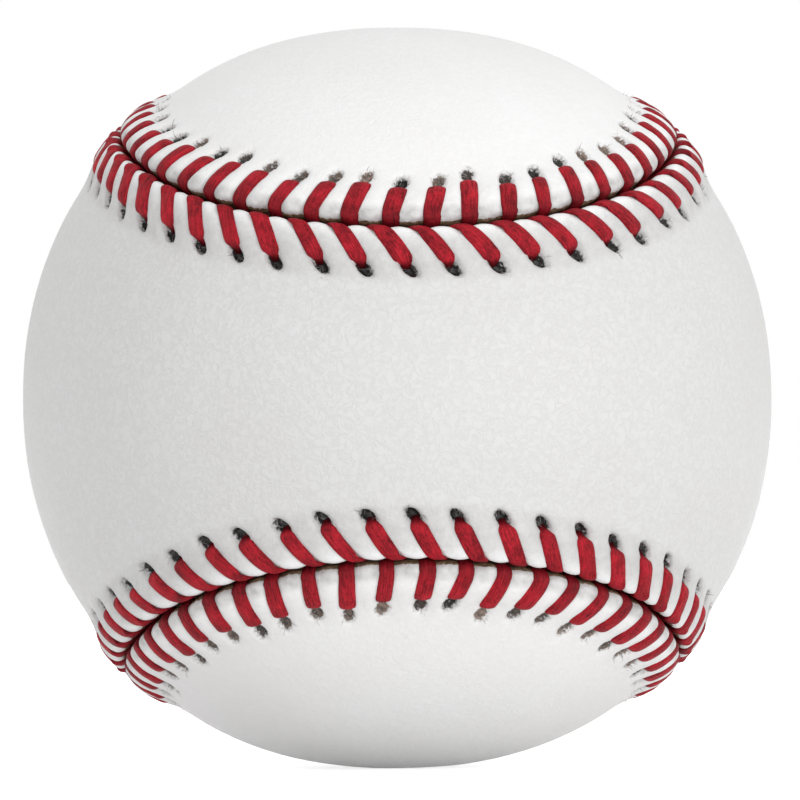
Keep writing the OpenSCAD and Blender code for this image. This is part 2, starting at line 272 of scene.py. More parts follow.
class Stitches:
    """Place of every stitch on one side of the seam, each a little off its even place."""

    def __init__(self, seam, sizes, thread, side):
        self.seam = seam
        self.side = side
        self.count = sizes.stitch_count
        chance = np.random.default_rng(thread.seed + (0 if side > 0 else 1))
        even = sizes.first_crossing + np.arange(self.count) * seam.pitch
        # Front stitches go down the slit slantwise, back ones straight from near the edge
        if side > 0:
            self.course, lean, self.straight_from = FRONT_COURSE, sizes.front_lean, -sizes.front_reach
            reach, stretch, shift = sizes.front_reach, 0.0, FRONT_HOLE_SHIFT
            uneven = FRONT_REACH_STRAY
        else:
            self.course, lean, self.straight_from = BACK_COURSE, sizes.back_lean, sizes.back_reach / 4
            reach, stretch, shift = sizes.back_reach, sizes.back_stretch, BACK_HOLE_SHIFT
            uneven = BACK_REACH_STRAY
            even = even + sizes.crossing_step
        # A hand-sewn row creeps a little along the seam, and back again by the time it closes
        half_way = seam.half_way(even)
        crept = thread.creep * (half_way + SWAY * np.sin(2 * math.tau * (even - START) / seam.length))
        self.crossing = even + crept + chance.normal(0, CROSSING_STRAY, self.count) * thread.wander
        self.leans = (lean * (1 - thread.slackening * half_way)
                      + chance.normal(0, LEAN_STRAY, self.count) * thread.wander)
        strays = np.clip(chance.normal(0, 1, self.count), -2, 2)
        self.reaches = reach * (1 + stretch * half_way) + strays * uneven * thread.wander
        self.hole_middles = self.reaches + shift
        self.fanning = 1 - half_way if side > 0 else np.zeros(self.count)
        self.widths = 1 + WIDTH_STRAY * chance.standard_normal(self.count)
        # Front holes are clean, with painted black shade, and most back ones show torn brown flesh
        frays = chance.random(self.count)
        self.frays = FRONT_FRAY * frays ** 2 if side > 0 else frays ** 0.5

    def along(self, number, across):
        """Distance along the seam of a stitch's middle line, at a distance from the seam."""
        number = np.mod(number, self.count)
        start, slope, bend = self.course
        part = across / self.reaches[number]
        return self.crossing[number] + self.leans[number] * (start + slope * part + bend * part ** 2)

    def slope(self, number, across):
        """How far a stitch goes along the seam for each step across it."""
        return (self.along(number, across + STEP) - self.along(number, across)) / STEP

    def nearest(self, along, across):
        """Number of the nearest stitch, the distance along to it, and the place between two, from 0 to 1."""
        guess = np.floor((along - self.crossing[0]) / self.seam.pitch).astype(int)
        past = np.full(along.shape, self.seam.length)
        ahead = past.copy()
        last = np.zeros(along.shape, int)
        for number in range(-2, 3):
            gap = self.seam.wrapped(along - self.along(guess + number, across))
            behind = (gap >= 0) & (gap < past)
            past = np.where(behind, gap, past)
            last = np.where(behind, guess + number, last)
            ahead = np.where((gap < 0) & (-gap < ahead), -gap, ahead)
        number = np.where(past <= ahead, last, last + 1) % self.count
        return number, np.minimum(past, ahead), past / (past + ahead)


# Node trees


def named_socket(sockets, identifier):
    return next(socket for socket in sockets if socket.identifier == identifier)


class Nodes:
    """Adds nodes to a tree. An input takes a value or another node's output."""

    def __init__(self, tree):
        self.tree = tree

    def fill(self, socket, value):
        if isinstance(value, bpy.types.NodeSocket):
            self.tree.links.new(value, socket)
        else:
            socket.default_value = value

    def add(self, kind, inputs=None, **settings):
        node = self.tree.nodes.new(kind)
        for name, value in settings.items():
            setattr(node, name, value)
        for name, value in (inputs or {}).items():
            self.fill(node.inputs[name], value)
        return node

    def first(self, kind, inputs=None, **settings):
        """Adds a node and gives its first output."""
        return self.add(kind, inputs, **settings).outputs[0]

    def calculate(self, operation, *values, clamp=False):
        return self.first("ShaderNodeMath", dict(enumerate(values)), operation=operation, use_clamp=clamp)

    def plus(self, value, added):
        return self.calculate("ADD", value, added)

    def minus(self, value, taken):
        return self.calculate("SUBTRACT", value, taken)

    def times(self, value, factor):
        return self.calculate("MULTIPLY", value, factor)

    def times_plus(self, value, factor, added):
        return self.calculate("MULTIPLY_ADD", value, factor, added)

    def ramp(self, value, low, high, to_low=0.0, to_high=1.0, smooth=False):
        """Carries a value between low and high over to one between two others, held at both ends."""
        inputs = {"Value": value, "From Min": low, "From Max": high, "To Min": to_low, "To Max": to_high}
        kind = "SMOOTHSTEP" if smooth else "LINEAR"
        return self.first("ShaderNodeMapRange", inputs, interpolation_type=kind)

    def mix(self, factor, one, other):
        """A colour between two."""
        node = self.add("ShaderNodeMix", {"Factor": factor}, data_type="RGBA")
        for identifier, tint in (("A_Color", one), ("B_Color", other)):
            tint = tint if isinstance(tint, bpy.types.NodeSocket) else (*tint[:3], 1.0)
            self.fill(named_socket(node.inputs, identifier), tint)
        return named_socket(node.outputs, "Result_Color")

    def curve(self, value, points):
        """A smooth curve through points between 0 and 1."""
        node = self.add("ShaderNodeFloatCurve", {"Value": value})
        line = node.mapping.curves[0].points
        for place in points[1:-1]:
            line.new(*place)
        line[0].location = points[0]
        line[-1].location = points[-1]
        node.mapping.update()
        return node.outputs[0]

    def noise(self, place, scale, detail, roughness=0.5, distortion=0.0):
        return self.first("ShaderNodeTexNoise", {"Vector": place, "Scale": scale, "Detail": detail,
                                                 "Roughness": roughness, "Distortion": distortion})

    def vector(self, **parts):
        return self.first("ShaderNodeCombineXYZ", parts)

    def group(self, name, build, inputs):
        """Uses a shader group and gives its outputs."""
        return self.add("ShaderNodeGroup", inputs, node_tree=found_or_built(name, build)).outputs

    def painted(self, name):
        """What a material reads in a mesh's attribute."""
        return self.add("ShaderNodeAttribute", attribute_name=name).outputs["Fac"]

    def stored(self, name, kind="FLOAT"):
        """What a geometry tree reads in a mesh's attribute."""
        return self.first("GeometryNodeInputNamedAttribute", {"Name": name}, data_type=kind)

    def random(self, low, high, seed):
        node = self.add("FunctionNodeRandomValue", {"Seed": seed}, data_type="FLOAT")
        for identifier, value in (("Min_001", low), ("Max_001", high)):
            named_socket(node.inputs, identifier).default_value = value
        return named_socket(node.outputs, "Value_001")

    def bump(self, height, distance, strength=1.0, **below):
        """A normal bent by a height, over the one given as Normal."""
        inputs = {"Height": height, "Distance": distance, "Strength": strength, **below}
        return self.first("ShaderNodeBump", inputs)


def new_group(name, kind, inputs, outputs):
    """A node group whose named inputs and outputs each have a type. Gives its nodes and its inputs."""
    tree = bpy.data.node_groups.new(name, kind)
    for way, sockets in (("INPUT", inputs), ("OUTPUT", outputs)):
        for label, socket in sockets.items():
            tree.interface.new_socket(name=label, in_out=way, socket_type="NodeSocket" + socket)
    nodes = Nodes(tree)
    return nodes, nodes.add("NodeGroupInput").outputs


def found_or_built(name, build):
    """A node group, which is built the first time."""
    return bpy.data.node_groups.get(name) or build(name)


def new_geometry_tree(name, sizes, **others):
    inputs = {"Geometry": "Geometry", **dict.fromkeys(sizes, "Float"), **others, "Material": "Material"}
    return new_group(name, "GeometryNodeTree", inputs, {"Geometry": "Geometry"})


def end_geometry_tree(nodes, geometry, material):
    """Every tree ends in Realize Instances and Set Material."""
    real = nodes.first("GeometryNodeRealizeInstances", {"Geometry": geometry})
    painted = nodes.first("GeometryNodeSetMaterial", {"Geometry": real, "Material": material})
    nodes.add("NodeGroupOutput", {0: painted})
    return nodes.tree


def profile_value(points, shares):
    """What the float curve of the same points gives, so that stitches lie on the leather."""
    nodes = Nodes(bpy.data.node_groups.new("Profile reader", "GeometryNodeTree"))
    mapping = nodes.curve(0.0, points).node.mapping
    mapping.initialize()
    values = np.array([mapping.evaluate(mapping.curves[0], float(s)) for s in np.ravel(shares)])
    bpy.data.node_groups.remove(nodes.tree)
    return values.reshape(np.shape(shares))


def run_tree(piece, tree, values):
    """Runs a tree on a piece and keeps its result as a plain mesh."""
    modifier = piece.modifiers.new(tree.name, "NODES")
    modifier.node_group = tree
    sockets = {item.name: item.identifier for item in tree.interface.items_tree
               if item.item_type == "SOCKET" and item.in_out == "INPUT"}
    for name, value in values.items():
        modifier[sockets[name]] = value
    view = bpy.context.evaluated_depsgraph_get()
    view.update()
    old = piece.data
    result = bpy.data.meshes.new_from_object(piece.evaluated_get(view), preserve_all_data_layers=True,
                                             depsgraph=view)
    piece.modifiers.remove(modifier)
    piece.data = result
    result.name = piece.name
    bpy.data.meshes.remove(old)
    if not result.polygons:
        raise RuntimeError(f"{piece.name} came out empty")
    return piece


def new_piece(name, points, faces=(), edges=(), attributes=None):
    """A mesh object at the origin, with one value for each point in every named attribute."""
    mesh = bpy.data.meshes.new(name)
    mesh.from_pydata(np.asarray(points).tolist(), list(edges), [tuple(f) for f in np.asarray(faces).tolist()])
    for label, values in (attributes or {}).items():
        values = np.asarray(values, float)
        kind, field = ("FLOAT_VECTOR", "vector") if values.ndim == 2 else ("FLOAT", "value")
        mesh.attributes.new(label, kind, "POINT").data.foreach_set(field, values.ravel())
    piece = bpy.data.objects.new(name, mesh)
    bpy.context.scene.collection.objects.link(piece)
    return piece


# Materials

# How a panel looks, by its side: strength of the painted shade in its wrinkles, how far from the edge its
# darker band lies (not yet, fully, still fully, no more), and how dark it is. On the back panel the band is
# painted shadow under the front panel's lip; on the front panel it lies in the valley towards the holes.
PANEL_LOOKS = {1: (0.17, (1.4 * MM, 3.0 * MM, 4.6 * MM, 6.0 * MM), 0.25),
               -1: (0.04, (-1 * MM, 0.0, 0.7 * MM, 1.75 * MM), 0.54)}
# Blotches of the skin are this much of its colour, in red, green and blue
WARM = (0.975, 0.97, 0.96)
# How fine the leather's marks are, in repeats for each metre
PEBBLES, WRINKLES, GRIME_SPOTS, RAGS = 1700.0, 1100.0, 900.0, 2600.0
# Most of a noise lies in the first range. The second one, in its middle, gives spots with sharper edges.
NOISE_RANGE, SPOT_RANGE = (0.3, 0.7), (0.42, 0.58)
# Distances from the edge between which the painted light on the lip's crest, the grime and the painted shade
# beside a stitch fade out
LIT_CREST, GRIMY, UNDER_STITCH = (0.5 * MM, 1.9 * MM), (0.3 * MM, 6.5 * MM), (3.4 * MM, 4.2 * MM)
# Distances from a stitch's middle line between which its painted shade fades out
BESIDE_STITCH = (0.8 * MM, 1.1 * MM)
# How strong the soil colour is in the grime's spots, in the painted shade beside the stitches and in the
# darkening round the holes
GRIME, STITCH_SHADE, HOLE_DARKENING = 0.16, 0.35, 0.7
# How frayed a hole is where its torn flesh begins to show, and where its fibres are no longer dark
SHOWS_FLESH, DARK_FIBRES = (0.45, 1.0), (0.2, 0.7)
# How fine a thread's strands are round it and along it, how fast they twist, and the scale of all three
STRANDS, STRANDS_ALONG, STRAND_TWIST, STRAND_SCALE = 6.0, 320.0, 160.0, 2.2
# How far red threads are darkened inside the holes and the slit
SUNK_SHADE = 0.75
# Bands of yarn: how each is turned, and how far its turns wobble
YARN_TURNS, WOBBLE = ((0.3, 0.5, 0.1), (1.4, -0.4, 0.8), (-0.7, 1.2, 2.1)), 4 * MM
# How fine the wobble, the patches of each band and the yarn's fibres are, in repeats for each metre
WOBBLES, PATCHES, YARN_FIBRES = 60.0, 90.0, 4000.0
# Widths of the white wool and of the cotton, as shares of the grey wool's
WHITE_WIDTH, COTTON_WIDTH = 0.85, 0.4
# The solid layers: material, its tint among the settings, colour of the blotches and how strong they are,
# size of blotches and of specks, and roughness
SOLID_LOOKS = (("cork_composition", "cork", (0.62, 0.45, 0.27), 0.9, 1.5 * MM, 0.6 * MM, 0.85),
               ("black_rubber", "black_rubber", (0.07, 0.07, 0.07), 0.6, 4 * MM, 0.3 * MM, 0.6),
               ("red_rubber", "red_rubber", (0.4, 0.09, 0.07), 0.6, 5 * MM, 0.3 * MM, 0.55),
               ("rubber_cement", "cement", (0.62, 0.55, 0.4), 0.9, 7 * MM, 0.8 * MM, 0.35))


def scaled(tint, amount):
    return tuple(c * amount for c in tint)


def build_mottle(name):
    """Slow blotches and fine specks, both from 0 to 1, for anything that isn't quite even."""
    sizes = {"Blotch size": "Float", "Speck size": "Float"}
    nodes, given = new_group(name, "ShaderNodeTree", {"Vector": "Vector", **sizes},
                             {"Blotches": "Float", "Specks": "Float"})
    marks = {}
    for size, detail, mark in zip(sizes, (3.0, 2.0), ("Blotches", "Specks")):
        noise = nodes.noise(given["Vector"], nodes.calculate("DIVIDE", 1.0, given[size]), detail, 0.55)
        marks[mark] = nodes.ramp(noise, *NOISE_RANGE)
    nodes.add("NodeGroupOutput", marks)
    return nodes.tree


def mottle_marks(nodes, place, blotch, speck):
    return nodes.group("Mottle", build_mottle, {"Vector": place, "Blotch size": blotch, "Speck size": speck})


def build_wound_yarn(name):
    """Turns of yarn laid in bands of three directions over a ball."""
    nodes, given = new_group(name, "ShaderNodeTree", {"Vector": "Vector", "Yarn width": "Float"},
                             {"Height": "Float", "Fibres": "Float"})
    scale = nodes.calculate("DIVIDE", 1.0, given["Yarn width"])
    layers = []
    for turn in YARN_TURNS:
        place = nodes.first("ShaderNodeMapping", {"Vector": given["Vector"], "Rotation": turn})
        up = nodes.add("ShaderNodeSeparateXYZ", {0: place}).outputs[2]
        shifted = nodes.times_plus(nodes.noise(place, WOBBLES, 1.0), WOBBLE, up)
        ridges = nodes.calculate("SINE", nodes.times(nodes.times(shifted, scale), math.tau))
        layers.append(nodes.times_plus(ridges, 0.25, nodes.noise(place, PATCHES, 0.0)))
    top = nodes.calculate("MAXIMUM", nodes.calculate("MAXIMUM", layers[0], layers[1]), layers[2])
    nodes.add("NodeGroupOutput", {"Height": nodes.ramp(top, 0.3, 1.0),
                                  "Fibres": nodes.noise(given["Vector"], YARN_FIBRES, 3.0)})
    return nodes.tree


def new_material(name):
    """A material without nodes, what adds them, and the place on the object that they read."""
    material = bpy.data.materials.new(name)
    material.use_nodes = True
    material.node_tree.nodes.clear()
    nodes = Nodes(material.node_tree)
    return material, nodes, nodes.add("ShaderNodeTexCoord").outputs["Object"]


def end_material(material, nodes, inputs):
    """Every material ends in one Principled BSDF, whose even values stand on its own sockets."""
    nodes.add("ShaderNodeOutputMaterial", {0: nodes.first("ShaderNodeBsdfPrincipled", inputs)})
    return material


def leather_material(name, leather, fibres, tone, crease_shade, dark_band, dark_band_strength):
    """Skin of one panel, with its darker band and painted shade, its cut edge, its holes and their fibres."""
    material, nodes, place = new_material(name)
    from_edge, from_stitch, hole, halo, fray, cut, fibre = map(nodes.painted, (
        "from_edge", "from_stitch", "hole", "halo", "fray", "cut", "fibre"))
    mottle = mottle_marks(nodes, place, 14 * MM, 0.5 * MM)
    pebbles = nodes.first("ShaderNodeTexVoronoi", {"Vector": place, "Scale": PEBBLES}, feature="SMOOTH_F1")
    crease = nodes.calculate("ABSOLUTE", nodes.minus(nodes.noise(place, WRINKLES, 3.0, 0.6, 0.5), 0.5))
    crease = nodes.ramp(crease, 0.0, 0.1)
    grime_noise = nodes.noise(place, GRIME_SPOTS, 4.0)
    ragged = nodes.noise(place, RAGS, 3.0)
    rough_edge = nodes.ramp(ragged, *NOISE_RANGE)
    spotted = nodes.ramp(ragged, *SPOT_RANGE)

    # Skin: a little warmer and darker in blotches, with painted shade in the wrinkles, and painted light on
    # the lip's crest beside the slit, as pale as the back panel's
    tint = scaled(leather.skin, tone)
    skin = nodes.mix(mottle["Blotches"], tint, tuple(c * warm for c, warm in zip(tint, WARM)))
    wrinkles = nodes.times_plus(crease, 0.5, nodes.times(mottle["Specks"], 0.5))
    skin = nodes.mix(nodes.ramp(wrinkles, 0.1, 0.8, crease_shade, 0.0), skin, leather.soil_and_shade)
    skin = nodes.mix(nodes.ramp(from_edge, *LIT_CREST, 1.0, 0.0, smooth=True), skin, leather.skin)

    # Soil colour: spots of grime, the darker band, painted shade beside the stitches, and darkening round the
    # holes
    near = nodes.ramp(from_edge, *GRIMY, 1.0, 0.0, smooth=True)
    spots = nodes.times(nodes.ramp(grime_noise, 0.5, 0.72), near)
    # The darker band: on the back panel it is painted shadow under the front panel's lip
    band = nodes.times(nodes.ramp(from_edge, *dark_band[:2], smooth=True),
                       nodes.ramp(from_edge, *dark_band[2:], 1.0, 0.0, smooth=True))
    band = nodes.times(band, nodes.ramp(grime_noise, *NOISE_RANGE, 0.6, 1.4))
    # Painted shade along both sides of each stitch, where it is pressed into the leather
    shaded = nodes.times(nodes.ramp(from_stitch, *BESIDE_STITCH, 1.0, 0.0, smooth=True),
                         nodes.ramp(from_edge, *UNDER_STITCH, 1.0, 0.0))
    torn = nodes.times(nodes.plus(rough_edge, 0.25), halo)
    for amount in (nodes.times(spots, GRIME), nodes.times(band, dark_band_strength), nodes.times(shaded, STITCH_SHADE),
                   nodes.ramp(torn, 0.4, 1.0, 0.0, HOLE_DARKENING)):
        skin = nodes.mix(amount, skin, leather.soil_and_shade)

    # Cut edge, then the holes: some are painted black as shade, others show brown torn flesh
    flesh = nodes.mix(rough_edge, leather.flesh, scaled(leather.flesh, 0.22))
    skin = nodes.mix(nodes.ramp(nodes.times_plus(rough_edge, 0.5, cut), 0.65, 0.85), skin, flesh)
    torn_flesh = nodes.mix(spotted, scaled(fibres.brown, 0.45), scaled(fibres.brown, 1.45))
    pit = nodes.mix(nodes.ramp(fray, *SHOWS_FLESH), leather.pit, torn_flesh)
    hole_edge = nodes.times(nodes.plus(rough_edge, 0.4), hole)
    base = nodes.mix(nodes.ramp(hole_edge, 0.25, 0.5), skin, pit)
    strand = nodes.mix(spotted, fibres.pale, fibres.brown)
    strand = nodes.mix(nodes.ramp(fray, *DARK_FIBRES, 0.85, 0.0), strand, scaled(leather.soil_and_shade, 0.3))

    # Relief: pebbles of the grain, and its wrinkles over them
    fine = nodes.bump(pebbles, 0.06 * MM, 0.5)
    return end_material(material, nodes, {
        "Base Color": nodes.mix(fibre, base, strand),
        "Roughness": nodes.ramp(mottle["Specks"], 0.0, 1.0, 0.42, 0.6),
        "Normal": nodes.bump(crease, 0.04 * MM, 0.5, Normal=fine)})


def thread_material(thread):
    material, nodes, place = new_material("red_thread")
    around = nodes.add("ShaderNodeAttribute", attribute_name="around").outputs["Vector"]
    ring = nodes.add("ShaderNodeSeparateXYZ", {0: around}).outputs
    along, sunk = nodes.painted("along"), nodes.painted("sunk")
    # Strands run along the thread: fine round it, slow along it, with a light twist
    strand = nodes.vector(X=nodes.times(ring[0], STRANDS), Z=nodes.times(along, STRANDS_ALONG),
                          Y=nodes.times_plus(ring[1], STRANDS, nodes.times(along, STRAND_TWIST)))
    strands = nodes.noise(strand, STRAND_SCALE, 4.0, 0.65)
    mottle = mottle_marks(nodes, place, 1.6 * MM, 0.25 * MM)
    # Painted light and shade on the yarn: strands, specks and blotches mix the lit red with the shaded one
    light = nodes.times_plus(mottle["Specks"], 0.35, nodes.times(nodes.ramp(strands, 0.4, 0.6), 0.65))
    light = nodes.times_plus(nodes.minus(mottle["Blotches"], 0.5), 0.5, light)
    base = nodes.mix(light, thread.dark, thread.bright)
    base = nodes.mix(nodes.times(sunk, SUNK_SHADE), base, scaled(thread.dark, 0.35))
    return end_material(material, nodes, {
        "Base Color": base, "Roughness": 0.6, "Specular IOR Level": 0.15,
        "Normal": nodes.bump(strands, 0.12 * MM, 0.8)})


def yarn_material(name, tint, width):
    material, nodes, place = new_material(name)
    yarn = nodes.group("Wound yarn", build_wound_yarn, {"Vector": place, "Yarn width": width})
    shadow = scaled(tint, 0.35)
    light = nodes.mix(yarn["Height"], shadow, tint)
    base = nodes.mix(nodes.ramp(yarn["Fibres"], *NOISE_RANGE, 0.0, 0.3), light, shadow)
    turns = nodes.bump(yarn["Height"], width * 0.5)
    return end_material(material, nodes, {
        "Base Color": base, "Roughness": 0.9, "Sheen Weight": 0.3,
        "Normal": nodes.bump(yarn["Fibres"], 0.05 * MM, Normal=turns)})


def solid_material(name, tint, other, amount, blotch, speck, roughness):
    """Rubber, cork and cement: a tint with blotches and specks of another."""
    material, nodes, place = new_material(name)
    mottle = mottle_marks(nodes, place, blotch, speck)
    both = nodes.times(mottle["Blotches"], mottle["Specks"])
    return end_material(material, nodes, {
        "Base Color": nodes.mix(nodes.times(both, amount), tint, other),
        "Roughness": nodes.ramp(mottle["Specks"], 0.0, 1.0, roughness - 0.1, roughness + 0.1),
        "Normal": nodes.bump(mottle["Specks"], speck * 0.3, 0.5)})


# Leather panels

# Height of the lip over the ball: share of the reach, share of the height
LIP_PROFILE = ((0.0, 0.0), (0.012, 0.30), (0.035, 0.66), (0.075, 0.88), (0.13, 0.97), (0.21, 1.0),
               (0.33, 0.93), (0.46, 0.66), (0.58, 0.41), (0.70, 0.22), (0.85, 0.07), (1.0, 0.0))
# Fullness of the ball: share of the way from the seam to a lobe's middle, share of the rise from there
FULLNESS = ((0.0, 1.0), (0.3, 1.0), (0.42, 0.9), (0.55, 0.72), (0.66, 0.5), (0.78, 0.27), (0.9, 0.08),
            (1.0, 0.0))
# Strength of the swelling between stitches: share of the reach, share of the height
PILLOW_PROFILE = ((0.0, 0.3), (0.08, 0.8), (0.2, 1.0), (0.45, 0.85), (0.62, 0.45), (0.8, 0.08), (1.0, 0.0))
# Share of the swelling's height by which it lies deeper, so that the leather is pressed in under a stitch
PRESSED = 0.38
# Distance from the edge at which the scallops end
SCALLOP_REACH = 1.4 * MM
# Columns of points beside each hole, then evenly on to the next one
HOLE_COLUMNS = np.array([-0.66, -0.4, -0.13, 0.13, 0.4, 0.66]) * MM
BETWEEN_COLUMNS = 7
# Rows of points, by distance from the edge, and the steps across the field between them
ROWS = np.array([0.0, 0.05, 0.13, 0.26, 0.45, 0.7, 1.05, 1.4, 1.8, 2.3, 2.8, 3.2, 3.5, 3.75, 4.0, 4.25, 4.5,
                 4.75, 5.0, 5.25, 5.5, 5.8, 6.2, 6.8, 7.6, 8.6]) * MM
FIELD_STEPS = 26
# Every so many columns, a point on the seam is one that the field's distances are measured to
SEAM_STRIDE = 4
CUT_WIDTH = 0.13 * MM
# Distances from a hole's middle, in its own half widths, at which hole and torn rim are full and gone
HOLE_ENDS, HALO_ENDS = (0.75, 1.25), (1.0, 2.1)
# How deep the torn rim lies and how deep a frayed hole still is, as shares of the hole's depth
RIM_DEPTH, FRAYED_DEPTH = 0.12, 0.4
# Fibres stand on this much of the far rim, in radians to each side, and between these shares of its size
FIBRE_SPREAD, FIBRE_RING = 1.9, (0.85, 1.2)
# How far they lean over the hole, how upright they are, and how much they stray to one side
FIBRE_LEAN, FIBRE_RISE, FIBRE_STRAY = (-0.9, 1.0), (0.1, 0.7), 0.35
# A fibre's middle and end, across and up, and the range of the fibres' lengths, all as shares of the length
FIBRE_BEND, FIBRE_LENGTHS = ((0.0, 0.55), (0.4, 0.85)), (0.45, 1.25)
# How fine the leather's slow swells are, in repeats for each metre
SWELLS = 110.0


def hole_width(stitches, leather):
    return leather.front_hole_width if stitches.side > 0 else leather.back_hole_width


def edge_values(seam, stitches, leather, along, from_edge):
    """Places across the seam of points on the leather, and what the relief and the colours read there."""
    across = leather.slit_width / 2 + from_edge
    phase = stitches.nearest(along, across)[2]
    drawn = leather.scallop * (0.5 + 0.5 * np.cos(math.tau * phase))
    across = across + drawn * np.clip(1 - from_edge / SCALLOP_REACH, 0, 1)
    number, from_stitch, phase = stitches.nearest(along, across)
    middle = stitches.hole_middles[number]
    off_across = across - middle
    off_along = along - stitches.along(number, middle) - stitches.slope(number, middle) * off_across
    ring = np.hypot(seam.wrapped(off_along) / (hole_width(stitches, leather) / 2),
                    off_across / (leather.hole_length / 2))
    hole, halo = (np.clip((gone - ring) / (gone - full), 0, 1) for full, gone in (HOLE_ENDS, HALO_ENDS))
    return across, {
        "from_seam": across, "from_edge": from_edge, "from_stitch": from_stitch, "hole": hole, "halo": halo,
        "swell": 0.5 - 0.5 * np.cos(math.tau * phase), "fray": stitches.frays[number],
        "cut": np.clip(1 - from_edge / CUT_WIDTH, 0, 1)}


def place_fibres(seam, stitches, leather, fibres, seed):
    """Roots of the torn fibres on the far rims of the holes, and the way that each one points."""
    chance = np.random.default_rng(seed)
    number = np.repeat(np.arange(stitches.count), fibres.per_hole)
    count = len(number)
    turn = chance.uniform(-FIBRE_SPREAD, FIBRE_SPREAD, count)
    reach = chance.uniform(*FIBRE_RING, count)
    middle = stitches.hole_middles[number]
    off_across = np.cos(turn) * reach * leather.hole_length / 2
    off_along = np.sin(turn) * reach * hole_width(stitches, leather) / 2
    along = stitches.along(number, middle) + off_along + stitches.slope(number, middle) * off_across
    across = middle + off_across
    outward = seam.direction(along, stitches.side * across)
    away = unit(seam.direction(along, stitches.side * (across + STEP)) - outward)
    onward = unit(seam.direction(along + STEP, stitches.side * across) - outward)
    # Most fibres lean over the hole, the others away from it
    inwards = chance.uniform(*FIBRE_LEAN, count)
    rise = chance.uniform(*FIBRE_RISE, count)
    sideways = chance.normal(0, FIBRE_STRAY, count)
    axis = (outward * rise[:, None] - away * (inwards * np.cos(turn))[:, None]
            + onward * (sideways - inwards * np.sin(turn))[:, None])
    return along, across - leather.slit_width / 2, unit(axis)


def panel_columns(seam, stitches):
    """Distances along the seam of the panel's columns of points: close at the holes, wider between them."""
    holes = stitches.along(np.arange(stitches.count), stitches.hole_middles)
    following = np.append(holes[1:], holes[0] + seam.length)
    room = following - holes - (HOLE_COLUMNS[-1] - HOLE_COLUMNS[0])
    between = np.arange(1, BETWEEN_COLUMNS + 1) / (BETWEEN_COLUMNS + 1)
    return np.concatenate([holes[:, None] + HOLE_COLUMNS,
                           holes[:, None] + HOLE_COLUMNS[-1] + room[:, None] * between], axis=1).ravel()


